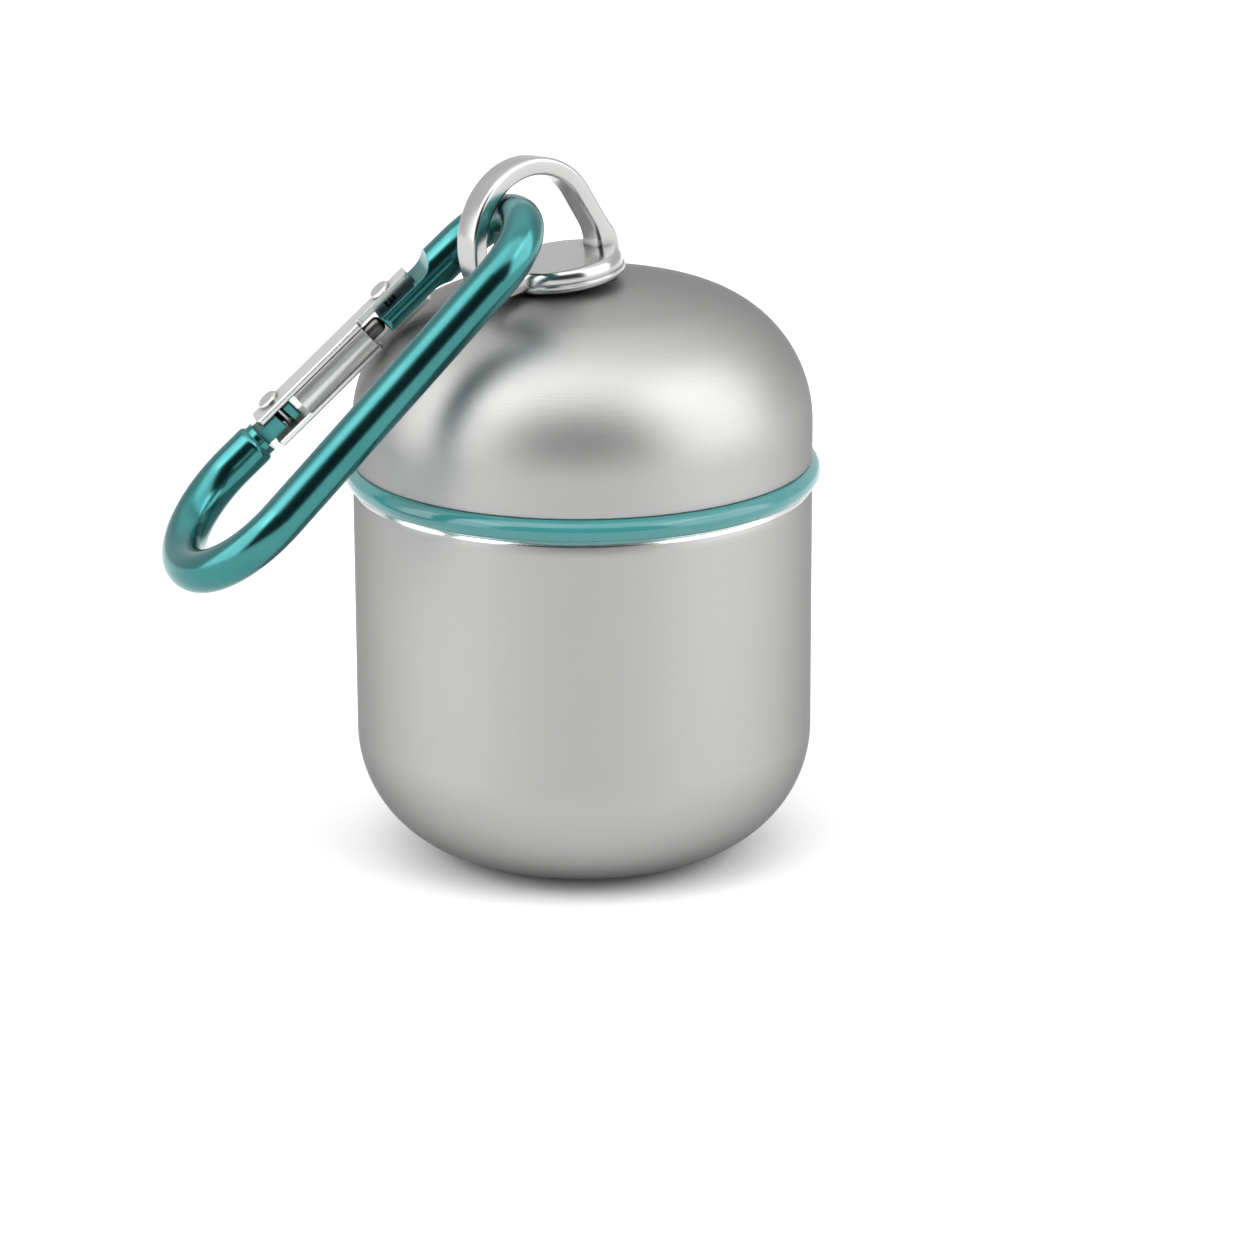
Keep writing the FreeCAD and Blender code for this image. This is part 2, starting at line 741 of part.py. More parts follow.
def offset(x, y, z, turn=Rotation()):
    return Placement(Vector(number(x), number(y), number(z)), turn)


def export(body):
    """Writes one finished sub-part to its own file."""
    shape = body.Shape
    if shape.isNull() or not shape.isValid():
        raise ValueError("bad shape: " + body.Label)
    shape.exportStep("parts/%s.step" % body.Label)


def build():
    along_gate = Rotation(Vector(0, 1, 0), 90)
    eye = eye_place()
    hook = hook_place()
    gate = hook * offset("hinge_reach", "0", "0")
    latch = "latch_reach - hinge_reach"
    bore_end = "tail_floor - bore_length + spring_gap"
    still = Placement()
    places = [
        (base_cup(), still),
        (seal_ring(), still),
        (lid_dome(), still),
        (swivel_eye(), eye),
        (eye_washer(), eye),
        (carabiner_hook(), hook),
        (gate_bar(), gate),
        (pin("gate_pivot", "pin_radius"), gate * offset("0", "-pin_offset", "0")),
        (pin("gate_latch_pin", "latch_radius"), gate * offset(latch, "-pin_offset", "0")),
        (gate_plunger(), gate * offset("tail_floor - plunger_seat", "plunger_offset", "0", along_gate)),
        (gate_spring(), gate * offset(bore_end, "plunger_offset", "0", along_gate)),
    ]
    for body, place in places:
        body.Placement = place
    doc.recompute()
    for item in doc.Objects:
        if "Invalid" in item.State or "Error" in item.State:
            raise ValueError("failed: " + item.Name)
    os.makedirs("parts", exist_ok=True)
    for body, _ in places:
        export(body)


sheet = make_sheet()
build()
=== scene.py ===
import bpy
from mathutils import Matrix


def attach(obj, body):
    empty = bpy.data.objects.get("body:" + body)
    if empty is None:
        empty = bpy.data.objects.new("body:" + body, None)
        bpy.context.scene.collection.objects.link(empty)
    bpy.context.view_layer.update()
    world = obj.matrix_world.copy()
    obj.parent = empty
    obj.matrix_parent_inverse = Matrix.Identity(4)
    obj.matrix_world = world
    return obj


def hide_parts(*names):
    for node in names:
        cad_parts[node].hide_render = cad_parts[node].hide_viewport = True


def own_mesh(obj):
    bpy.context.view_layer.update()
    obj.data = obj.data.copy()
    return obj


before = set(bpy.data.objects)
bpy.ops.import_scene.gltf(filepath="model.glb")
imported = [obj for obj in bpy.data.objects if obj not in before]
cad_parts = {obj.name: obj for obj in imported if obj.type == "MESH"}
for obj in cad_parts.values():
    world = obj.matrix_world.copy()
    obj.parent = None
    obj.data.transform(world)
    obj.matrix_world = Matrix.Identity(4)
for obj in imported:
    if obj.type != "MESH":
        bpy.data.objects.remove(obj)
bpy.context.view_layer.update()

import logging
import math
from dataclasses import dataclass, field
from enum import Enum
from typing import Any, Callable, Iterable, Optional, Union

import bpy
import numpy as np
from mathutils import Matrix, Quaternion, Vector

# Shapes are written in millimetres and scaled once, where a mesh is made. Finishes are in metres.
MM = 0.001
# Edges that turn by more than this stay sharp, in degrees.
SHARP_ANGLE = 32.0
# Points of a profile that are closer than this are one point, in millimetres.
SAME_POINT = 1e-6
# Samples of the occlusion node that paints shade into narrow crevices, and of the soft edge nodes.
CREVICE_SAMPLES = 8
EDGE_SAMPLES = 4

log = logging.getLogger("capsule_case")

Array = np.ndarray
Pair = tuple[float, float]
Point = tuple[float, float, float]
Colour = tuple[float, float, float]
Relief = Callable[[Array, Array, Array], Array]
Value = Union[float, "Signal"]


class Body(Enum):
    """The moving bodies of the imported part."""

    BASE = "base"
    LID = "lid"
    EYE = "eye"


class Slot(Enum):
    """The record's material slots."""

    CASE = "case"
    SEAL = "seal"
    EYE = "eye"


# Shader maths


class Signal:
    """A shader socket that can be used in Python expressions."""

    def __init__(self, graph: "Graph", socket: Any) -> None:
        """Wraps one output socket of a graph."""
        self.graph = graph
        self.socket = socket

    def _math(self, operation: str, first: Value, second: Value) -> "Signal":
        """Adds a Math node for two numbers or sockets."""
        return self.graph.node("ShaderNodeMath", {"operation": operation}, {0: first, 1: second})

    def __add__(self, other: Value) -> "Signal":
        """Sum."""
        return self._math("ADD", self, other)

    def __sub__(self, other: Value) -> "Signal":
        """Difference."""
        return self._math("SUBTRACT", self, other)

    def __rsub__(self, other: Value) -> "Signal":
        """Difference from a number."""
        return self._math("SUBTRACT", other, self)

    def __mul__(self, other: Value) -> "Signal":
        """Product."""
        return self._math("MULTIPLY", self, other)

    def __truediv__(self, other: Value) -> "Signal":
        """Quotient."""
        return self._math("DIVIDE", self, other)

    def __rtruediv__(self, other: Value) -> "Signal":
        """Quotient of a number."""
        return self._math("DIVIDE", other, self)

    __radd__ = __add__
    __rmul__ = __mul__


class Graph:
    """The node tree of a material or of the world."""

    def __init__(self, tree: bpy.types.NodeTree) -> None:
        """Starts from an empty tree."""
        tree.nodes.clear()
        self.tree = tree

    def node(
        self,
        kind: str,
        settings: Optional[dict[str, Any]] = None,
        inputs: Optional[dict[Union[int, str], Any]] = None,
        output: Union[int, str] = 0,
    ) -> Signal:
        """Adds one node.

        Args:
            kind: The node's type name.
            settings: Attributes that are set first, such as a Math node's operation.
            inputs: Values or signals for its sockets, by name or number.
            output: Which of its outputs is handed back.

        Returns:
            The chosen output.
        """
        made = self.tree.nodes.new(kind)
        for name, setting in (settings or {}).items():
            setattr(made, name, setting)
        for name, value in (inputs or {}).items():
            if isinstance(value, Signal):
                self.tree.links.new(value.socket, made.inputs[name])
            else:
                made.inputs[name].default_value = value
        return Signal(self, made.outputs[output] if made.outputs else None)

    def place(self) -> Signal:
        """Object coordinates."""
        return self.node("ShaderNodeTexCoord", output="Object")

    def split(self, vector: Signal) -> tuple[Signal, ...]:
        """The three parts of a vector."""
        first = self.node("ShaderNodeSeparateXYZ", inputs={0: vector})
        return tuple(Signal(self, part) for part in first.socket.node.outputs)

    def noise(self, where: Signal, scale: float, detail: float = 3.0) -> Signal:
        """Noise from 0 to 1."""
        inputs = {"Vector": where, "Scale": scale, "Detail": detail}
        return self.node("ShaderNodeTexNoise", inputs=inputs, output="Fac")

    def stretch(self, where: Signal, scale: Point) -> Signal:
        """A vector with each part scaled."""
        return self.node("ShaderNodeVectorMath", {"operation": "MULTIPLY"}, {0: where, 1: scale})

    def dot(self, vector: Signal, axis: Point) -> Signal:
        """The part of a vector along an axis."""
        settings = {"operation": "DOT_PRODUCT"}
        return self.node("ShaderNodeVectorMath", settings, {0: vector, 1: axis}, output="Value")

    def ramp(self, value: Signal, low: float, high: float) -> Signal:
        """A smooth step from 0 at low to 1 at high."""
        inputs = {"Value": value, "From Min": low, "From Max": high}
        return self.node("ShaderNodeMapRange", {"interpolation_type": "SMOOTHSTEP"}, inputs)

    def fade(self, value: Signal, half: float, soft: float) -> Signal:
        """1 where the value's size is under half, fading to 0 round it."""
        size = self.node("ShaderNodeMath", {"operation": "ABSOLUTE"}, {0: value})
        return 1.0 - self.ramp(size, half - soft, half + soft)

    def blend(self, share: Value, first: Any, second: Any) -> Signal:
        """A mix of two colours, which are inputs 6 and 7 of a Mix node, as the mix is its output 2."""
        return self.node("ShaderNodeMix", {"data_type": "RGBA"}, {0: share, 6: first, 7: second}, output=2)

    def open_sky(self, reach: float) -> Signal:
        """How open a spot is, from 0 in a crevice to 1, within a reach."""
        settings = {"samples": CREVICE_SAMPLES}
        return self.node("ShaderNodeAmbientOcclusion", settings, {"Distance": reach}, output="AO")

    def soften(self, edge_radius: float) -> Signal:
        """A normal that rounds off sharp edges."""
        return self.node("ShaderNodeBevel", {"samples": EDGE_SAMPLES}, {"Radius": edge_radius})

    def bump(
        self, height: Signal, strength: float, distance: float, normal: Optional[Signal] = None
    ) -> Signal:
        """Raises a normal by a height.

        Args:
            height: The height, from 0 to 1.
            strength: The share of the effect.
            distance: The height in metres that 1 stands for.
            normal: The normal to start from, if it isn't the surface's own.

        Returns:
            The raised normal.
        """
        inputs: dict[Union[int, str], Any] = {"Height": height, "Strength": strength, "Distance": distance}
        if normal is not None:
            inputs["Normal"] = normal
        return self.node("ShaderNodeBump", inputs=inputs)

    def surface(self, inputs: dict[Union[int, str], Any]) -> None:
        """Ends a material with one Principled shader."""
        shader = self.node("ShaderNodeBsdfPrincipled", inputs=inputs)
        self.node("ShaderNodeOutputMaterial", inputs={"Surface": shader})


# Finishes


def opaque(colour: Colour, share: float = 1.0) -> tuple[float, float, float, float]:
    """A share of a colour with full alpha."""
    return (*(share * part for part in colour), 1.0)


@dataclass(frozen=True)
class Finish:
    """One finish of the object's surfaces."""

    name: str

    def material(self) -> bpy.types.Material:
        """Builds the material.

        Returns:
            The material, with its nodes.
        """
        made = bpy.data.materials.new(self.name)
        made.use_nodes = True
        self.dress(Graph(made.node_tree))
        return made

    def dress(self, graph: Graph) -> None:
        """Fills the material's nodes."""
        raise NotImplementedError


@dataclass(frozen=True)
class BlastedAluminium(Finish):
    """Turned aluminium with a fine blasted grain.

    The roughness follows a fine grain, and very faint rings run round the axis, left by the lathe.
    The rim's chamfer was cut after the blasting; its bright colour is partly glossier cut metal, partly a
    painted highlight.
    """

    colour: Colour = (0.40, 0.396, 0.392)
    dark_share: float = 0.93
    edge_tint: Colour = (0.30, 0.30, 0.30)
    roughness: float = 0.45
    rough_drop: float = 0.05
    rough_grain: float = 0.06
    rough_cloud: float = 0.05
    cloud: float = 90.0
    grain: float = 5200.0
    grain_bump: float = 0.12
    grain_depth: float = 0.00003
    ring: float = 12000.0
    ring_stretch: Point = (0.01, 0.01, 1.0)
    ring_bump: float = 1.0
    ring_depth: float = 0.000008
    # Colour of the rim's chamfer: bright cut metal, raised further as a painted highlight.
    cut_metal_and_highlight_colour: Colour = (0.92, 0.92, 0.91)
    cut_height: float = 0.02890
    cut_half: float = 0.00016
    cut_soft: float = 0.00002
    cut_gloss: float = 0.25

    def dress(self, graph: Graph) -> None:
        """Adds a fine grain, faint turning rings, slow cloudy changes of gloss, and a bright rim chamfer that
        is partly painted highlight.

        Args:
            graph: The material's nodes.
        """
        place = graph.place()
        grain = graph.noise(place, self.grain, detail=4.0)
        rings = graph.noise(graph.stretch(place, self.ring_stretch), self.ring, detail=1.0)
        clouds = graph.noise(place, self.cloud, detail=2.0)
        rough = self.roughness - self.rough_drop + self.rough_grain * grain + self.rough_cloud * clouds
        dark = opaque(self.colour, self.dark_share)
        shade = graph.blend(0.5 * grain + 0.5 * rings, dark, opaque(self.colour))
        _, _, height = graph.split(place)
        # The band of the rim's chamfer: glossier cut metal, with a painted highlight in its colour.
        cut = graph.fade(height - self.cut_height, self.cut_half, self.cut_soft)
        turned_lines = graph.bump(rings, self.ring_bump, self.ring_depth)
        graph.surface(
            {
                "Base Color": graph.blend(cut, shade, opaque(self.cut_metal_and_highlight_colour)),
                "Metallic": 1.0,
                "Roughness": rough - self.cut_gloss * cut,
                "Specular Tint": opaque(self.edge_tint),
                "Normal": graph.bump(grain, self.grain_bump, self.grain_depth, turned_lines),
            }
        )


@dataclass(frozen=True)
class Polished(Finish):
    """Bright metal with softened edges, faint smears and painted shade in narrow crevices."""

    colour: Colour = (0.44, 0.44, 0.435)
    # Share of the colour and reach of the painted shade in narrow crevices.
    crevice_shade_share: float = 0.22
    crevice: float = 0.0008
    roughness: float = 0.20
    rough_drop: float = 0.03
    rough_smear: float = 0.07
    smear: float = 260.0
    fine: float = 3000.0
    fine_bump: float = 0.04
    fine_depth: float = 0.00002
    edge: float = 0.00012

    def dress(self, graph: Graph) -> None:
        """Adds softened edges, a gloss that changes slowly, and painted shade in narrow crevices.

        Args:
            graph: The material's nodes.
        """
        place = graph.place()
        # This darker colour is painted shade, faded in where the occlusion node finds a narrow crevice.
        dark = opaque(self.colour, self.crevice_shade_share)
        smear = graph.noise(place, self.smear)
        fine = graph.noise(place, self.fine, detail=2.0)
        graph.surface(
            {
                "Base Color": graph.blend(graph.open_sky(self.crevice), dark, opaque(self.colour)),
                "Metallic": 1.0,
                "Roughness": self.roughness - self.rough_drop + self.rough_smear * smear,
                "Normal": graph.bump(fine, self.fine_bump, self.fine_depth, graph.soften(self.edge)),
            }
        )


@dataclass(frozen=True)
class AnodisedTeal(Finish):
    """Dyed aluminium with a deep gloss, with painted shade in narrow crevices."""

    deep: Colour = (0.030, 0.150, 0.155)
    pale: Colour = (0.065, 0.235, 0.235)
    # Share of the deep colour and reach of the painted shade in narrow crevices.
    crevice_shade_share: float = 0.2
    crevice: float = 0.0008
    roughness: float = 0.18
    rough_drop: float = 0.02
    rough_dye: float = 0.06
    dye: float = 180.0
    fine: float = 2600.0
    fine_bump: float = 0.05
    fine_depth: float = 0.00002
    edge: float = 0.00015

    def dress(self, graph: Graph) -> None:
        """Adds a dye that is a little uneven, over softened edges, with painted shade in narrow crevices.

        Args:
            graph: The material's nodes.
        """
        place = graph.place()
        dye = graph.noise(place, self.dye)
        fine = graph.noise(place, self.fine, detail=2.0)
        dyed = graph.blend(dye, opaque(self.deep), opaque(self.pale))
        # This darkened deep colour is painted shade, faded in where the occlusion node finds a narrow
        # crevice.
        dark = opaque(self.deep, self.crevice_shade_share)
        graph.surface(
            {
                "Base Color": graph.blend(graph.open_sky(self.crevice), dark, dyed),
                "Metallic": 1.0,
                "Roughness": self.roughness - self.rough_drop + self.rough_dye * dye,
                "Normal": graph.bump(fine, self.fine_bump, self.fine_depth, graph.soften(self.edge)),
            }
        )


@dataclass(frozen=True)
class GlossyRubber(Finish):
    """Dyed rubber with a smooth moulded gloss."""

    colour: Colour = (0.040, 0.215, 0.215)
    cloud_share: float = 0.85
    cloud: float = 300.0
    roughness: float = 0.12
    rough_drop: float = 0.03
    rough_cloud: float = 0.06
    fine: float = 1800.0
    fine_bump: float = 0.05
    fine_depth: float = 0.00003
    specular: float = 0.4
    coat: float = 0.4
    coat_roughness: float = 0.06
    coat_index: float = 1.5

    def dress(self, graph: Graph) -> None:
        """Adds a slightly cloudy dye under a clear gloss.

        Args:
            graph: The material's nodes.
        """
        place = graph.place()
        clouds = graph.noise(place, self.cloud)
        fine = graph.noise(place, self.fine, detail=2.0)
        graph.surface(
            {
                "Base Color": graph.blend(clouds, opaque(self.colour, self.cloud_share), opaque(self.colour)),
                "Roughness": self.roughness - self.rough_drop + self.rough_cloud * clouds,
                "Normal": graph.bump(fine, self.fine_bump, self.fine_depth),
                "Coat Weight": self.coat,
                "Coat Roughness": self.coat_roughness,
                "Coat IOR": self.coat_index,
                "Specular IOR Level": self.specular,
            }
        )


@dataclass(frozen=True)
class WhiteFloor(Finish):
    """The pale ground, which shows white and keeps the object's shadow."""

    colour: Colour = (0.84, 0.84, 0.84)
    roughness: float = 0.9
    specular: float = 0.1

    def dress(self, graph: Graph) -> None:
        """A plain matt surface."""
        looks = {"Base Color": opaque(self.colour), "Roughness": self.roughness}
        graph.surface({**looks, "Specular IOR Level": self.specular})


# Surfaces


def arc(centre: Pair, radius: float, start: float, end: float, count: int) -> Array:
    """Points of an arc.

    Each point is the centre plus the radius times the cosine and sine of an angle that runs evenly
    from start to end, in degrees.

    Args:
        centre: The arc's centre.
        radius: Its radius.
        start: The first angle.
        end: The last angle.
        count: How many points.

    Returns:
        An array of count rows.
    """
    angle = np.radians(np.linspace(start, end, count))
    return np.column_stack((centre[0] + radius * np.cos(angle), centre[1] + radius * np.sin(angle)))


def line(start: Pair, end: Pair, count: int) -> Array:
    """Evenly spaced points from start to end."""
    return np.linspace(start, end, count)


def chain(*parts: Array) -> Array:
    """Joins runs of points and drops those that repeat the one before.

    Args:
        *parts: The runs, each with rows of two measures.

    Returns:
        One run.
    """
    points = np.vstack(parts)
    step = np.linalg.norm(np.diff(points, axis=0), axis=1)
    return points[np.concatenate(([True], step > SAME_POINT))]


def eased(values: Array) -> Array:
    """Three times the square minus twice the cube, with the values held between 0 and 1."""
    held = np.clip(values, 0.0, 1.0)
    return held * held * (3.0 - 2.0 * held)


def make_mesh(name: str, points: Array, faces: Iterable[Array]) -> bpy.types.Object:
    """Makes an object from arrays.

    Args:
        name: The object's name.
        points: Its corners in millimetres, one row each.
        faces: Arrays of faces, each array with faces of one number of corners.

    Returns:
        The new object, smooth but for its sharp edges.
    """
    groups = list(faces)
    corners = np.concatenate([group.ravel() for group in groups]).astype(np.int32)
    sizes = np.concatenate([np.full(len(group), group.shape[1]) for group in groups]).astype(np.int32)
    starts = np.concatenate(([0], np.cumsum(sizes)[:-1])).astype(np.int32)
    mesh = bpy.data.meshes.new(name)
    mesh.vertices.add(len(points))
    mesh.vertices.foreach_set("co", (points * MM).astype(np.float32).ravel())
    mesh.loops.add(len(corners))
    mesh.loops.foreach_set("vertex_index", corners)
    mesh.polygons.add(len(sizes))
    mesh.polygons.foreach_set("loop_start", starts)
    mesh.polygons.foreach_set("use_smooth", np.ones(len(sizes), dtype=bool))
    mesh.update(calc_edges=True)
    mesh.validate()
    mesh.set_sharp_from_angle(angle=math.radians(SHARP_ANGLE))
    made = bpy.data.objects.new(name, mesh)
    bpy.context.scene.collection.objects.link(made)
    return made


def grid_faces(rows: int, columns: int, close_rows: bool) -> Array:
    """Faces of a grid whose columns run round and join up.

    Args:
        rows: Points along the profile.
        columns: Points round.
        close_rows: Whether the last row joins the first.

    Returns:
        Quads, turned so that a profile that runs anticlockwise faces outwards.
    """
    row = np.arange(rows if close_rows else rows - 1)[:, None] * columns
    column = np.arange(columns)[None, :]
    after = (row + columns) % (rows * columns)
    beside = (column + 1) % columns
    corners = np.broadcast_arrays(row + column, row + beside, after + beside, after + column)
    return np.stack(corners, axis=-1).reshape(-1, 4)


def turned(
    name: str, profile: Array, around: int, relief: Optional[Relief] = None, closed: bool = False
) -> bpy.types.Object:
    """Turns a profile of radius and height about the Z axis.

    A point is its radius times the cosine and sine of the angle round, and its height. A relief is
    added to the radius.

    Args:
        name: The object's name.
        profile: Rows of radius and height. Open profiles start and end on the axis.
        around: Points round.
        relief: A function of angle, radius and height that gives the change of radius.
        closed: Whether the profile is a ring.

    Returns:
        The new object.
    """
    inner = profile if closed else profile[1:-1]
    angle = np.linspace(0.0, 2.0 * np.pi, around, endpoint=False)[None, :]
    radius = np.broadcast_to(inner[:, :1], (len(inner), around)).copy()
    height = np.broadcast_to(inner[:, 1:], (len(inner), around))
    if relief is not None:
        radius += relief(angle, radius, height)
    points = np.stack((radius * np.cos(angle), radius * np.sin(angle), height), axis=-1).reshape(-1, 3)
    faces = [grid_faces(len(inner), around, closed)]
    if not closed:
        step = np.arange(around)
        beside = (step + 1) % around
        low, high = len(points), len(points) + 1
        top = (len(inner) - 1) * around
        points = np.vstack((points, (0.0, 0.0, profile[0, 1]), (0.0, 0.0, profile[-1, 1])))
        faces.append(np.column_stack((beside, step, np.full(around, low))))
        faces.append(np.column_stack((top + step, top + beside, np.full(around, high))))
    return make_mesh(name, points, faces)


def place_mesh(piece: bpy.types.Object, matrix: Matrix) -> None:
    """Moves a piece's mesh and leaves its object at the origin."""
    piece.data.transform(matrix)
    piece.data.update()


def paint(piece: bpy.types.Object, material: bpy.types.Material) -> None:
    """Gives a piece one material."""
    piece.data.materials.clear()
    piece.data.materials.append(material)


def finish_piece(
    piece: bpy.types.Object, material: bpy.types.Material, body: Body, node: str
) -> None:
    """Dresses a new piece and ties it to what it stands for.

    Args:
        piece: The new object.
        material: Its finish.
        body: The body that it moves with.
        node: The CAD node that it replaces.
    """
    paint(piece, material)
    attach(piece, body.value)
    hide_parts(node)
    log.info("%s: %d corners, %d faces", piece.name, len(piece.data.vertices), len(piece.data.polygons))


def dress_node(node: str, material: bpy.types.Material) -> None:
    """Gives a CAD node its finish and leaves its shape alone."""
    paint(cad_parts[node], material)
    log.info("%s: %s", node, material.name)


# Capsule. The last number of a line or an arc is how many points it gets.


@dataclass
class Thread:
    """The screw thread that joins the two halves.

    The relief is the depth times a rounded sawtooth of the turns, where the turns are the angle over a
    full turn plus the height over the pitch. It fades in and out at the ends.
    """

    low: float = 29.7
    high: float = 34.5
    pitch: float = 1.25
    depth: float = 0.34
    steep: float = 1.6
    root: float = 0.3
    fade: float = 0.6
    on_wall: float = 0.01

    def relief(self, radius: float) -> Relief:
        """Makes the relief of one wall.

        Args:
            radius: The radius that the wall lies at.

        Returns:
            A function of angle, radius and height.
        """

        def cut(angle: Array, place: Array, height: Array) -> Array:
            """Works out the change of radius.

            Args:
                angle: The angle round of each point.
                place: Its radius.
                height: Its height.

            Returns:
                The change at each point, nothing away from the wall.
            """
            turns = angle / (2.0 * np.pi) + height / self.pitch
            wave = np.abs(2.0 * (turns - np.floor(turns)) - 1.0)
            ridge = eased(self.steep * wave - self.root)
            ends = eased((height - self.low) / self.fade) * eased((self.high - height) / self.fade)
            return np.where(np.abs(place - radius) < self.on_wall, -self.depth * ridge * ends, 0.0)

        return cut


@dataclass
class Capsule:
    """The turned base and lid."""

    radius: float = 17.5
    base_height: float = 29.05
    foot_corner: float = 9.6
    rim_high: float = 0.3
    rim_deep: float = 0.17
    floor: float = 2.0
    bore: float = 15.0
    bore_corner: float = 7.5
    neck: float = 16.25
    neck_top: float = 35.05
    neck_chamfer: float = 0.5
    lid_edge: float = 30.87
    skirt: float = 16.33
    skirt_top: float = 35.45
    wall_top: float = 33.68
    lid_corner: float = 10.26
    crown: float = 36.7
    wall: float = 1.5
    hole: float = 2.64
    soft_edge: float = 0.12
    around: int = 224
    thread: Thread = field(default_factory=Thread)

    def base(self) -> bpy.types.Object:
        """Turns the cup: rounded foot, straight wall, bright chamfered rim, threaded neck, rounded bore.

        Returns:
            The cup.
        """
        foot = self.radius - self.foot_corner
        bottom = self.bore - self.bore_corner
        bend = self.floor + self.bore_corner
        rim_low = (self.radius, self.base_height - self.rim_high)
        rim_top = (self.radius - self.rim_deep, self.base_height)
        neck_low = (self.neck, self.neck_top - self.neck_chamfer)
        neck_high = (self.neck - self.neck_chamfer, self.neck_top)
        profile = chain(
            line((0.0, 0.0), (foot, 0.0), 14),
            arc((foot, self.foot_corner), self.foot_corner, -90.0, 0.0, 40),
            line((self.radius, self.foot_corner), rim_low, 24),
            line(rim_low, rim_top, 3),
            line(rim_top, (self.neck, self.base_height), 3),
            line((self.neck, self.base_height), neck_low, 90),
            line(neck_low, neck_high, 3),
            line(neck_high, (self.bore, self.neck_top), 3),
            line((self.bore, self.neck_top), (self.bore, bend), 24),
            arc((bottom, bend), self.bore_corner, 0.0, -90.0, 26),
            line((bottom, self.floor), (0.0, self.floor), 12),
        )
        return turned("capsule_base", profile, self.around, self.thread.relief(self.neck))

    def lid(self) -> bpy.types.Object:
        """Turns the dome: straight skirt, tight corner, flatter crown, hollow, with the stud's hole.

        Returns:
            The dome.
        """
        axis = self.radius - self.lid_corner
        reach = self.crown - self.lid_corner
        drop = math.sqrt(reach * reach - axis * axis)
        centre = self.wall_top - drop
        join = math.degrees(math.atan2(drop, axis))
        edge = self.soft_edge
        hole_out = math.degrees(math.acos((self.hole + edge) / self.crown))
        inner_crown = self.crown - self.wall
        inner_corner = self.lid_corner - self.wall
        hole_in = math.degrees(math.acos(self.hole / inner_crown))
        step = math.degrees(math.asin((self.skirt_top - self.wall_top) / inner_corner))
        top = centre + self.crown * math.sin(math.radians(hole_out))
        under = centre + inner_crown * math.sin(math.radians(hole_in))
        inner_edge = axis + inner_corner * math.cos(math.radians(step))
        profile = chain(
            line((self.skirt, self.lid_edge), (self.radius - edge, self.lid_edge), 4),
            arc((self.radius - edge, self.lid_edge + edge), edge, -90.0, 0.0, 5),
            line((self.radius, self.lid_edge + edge), (self.radius, self.wall_top), 6),
            arc((axis, self.wall_top), self.lid_corner, 0.0, join, 60),
            arc((0.0, centre), self.crown, join, hole_out, 36),
            line((self.hole, top - edge), (self.hole, under), 6),
            arc((0.0, centre), inner_crown, hole_in, join, 24),
            arc((axis, self.wall_top), inner_corner, join, step, 24),
            line((inner_edge, self.skirt_top), (self.skirt, self.skirt_top), 3),
            line((self.skirt, self.skirt_top), (self.skirt, self.lid_edge), 90),
        )[:-1]
        return turned("capsule_lid", profile, self.around, self.thread.relief(self.skirt), closed=True)

    def build(self, metal: bpy.types.Material) -> None:
        """Builds both halves and dresses them."""
        finish_piece(self.base(), metal, Body.BASE, "base_cup")
        finish_piece(self.lid(), metal, Body.LID, "lid_dome")


# Sealing ring


@dataclass
class SealRing:
    """The moulded ring that is squeezed between the two halves.

    Its section is an oval: the middle plus half the width times the cosine and half the height times
    the sine of an angle.
    """

    inside: float = 16.29
    outside: float = 18.19
    low: float = 29.05
    high: float = 30.87
    around: int = 224
    turns: int = 56

    def build(self, rubber: bpy.types.Material) -> None:
        """Builds the ring and dresses it.

        Args:
            rubber: The ring's finish.
        """
        angle = np.linspace(0.0, 2.0 * np.pi, self.turns, endpoint=False)
        radius = (self.inside + self.outside) / 2.0 + (self.outside - self.inside) / 2.0 * np.cos(angle)
        height = (self.low + self.high) / 2.0 + (self.high - self.low) / 2.0 * np.sin(angle)
        ring = turned("seal_oval", np.column_stack((radius, height)), self.around, closed=True)
        finish_piece(ring, rubber, Body.BASE, "seal_ring")


# Swivel eye. Its own Z axis runs along the stud, and X and Z hold the loop's middle line.


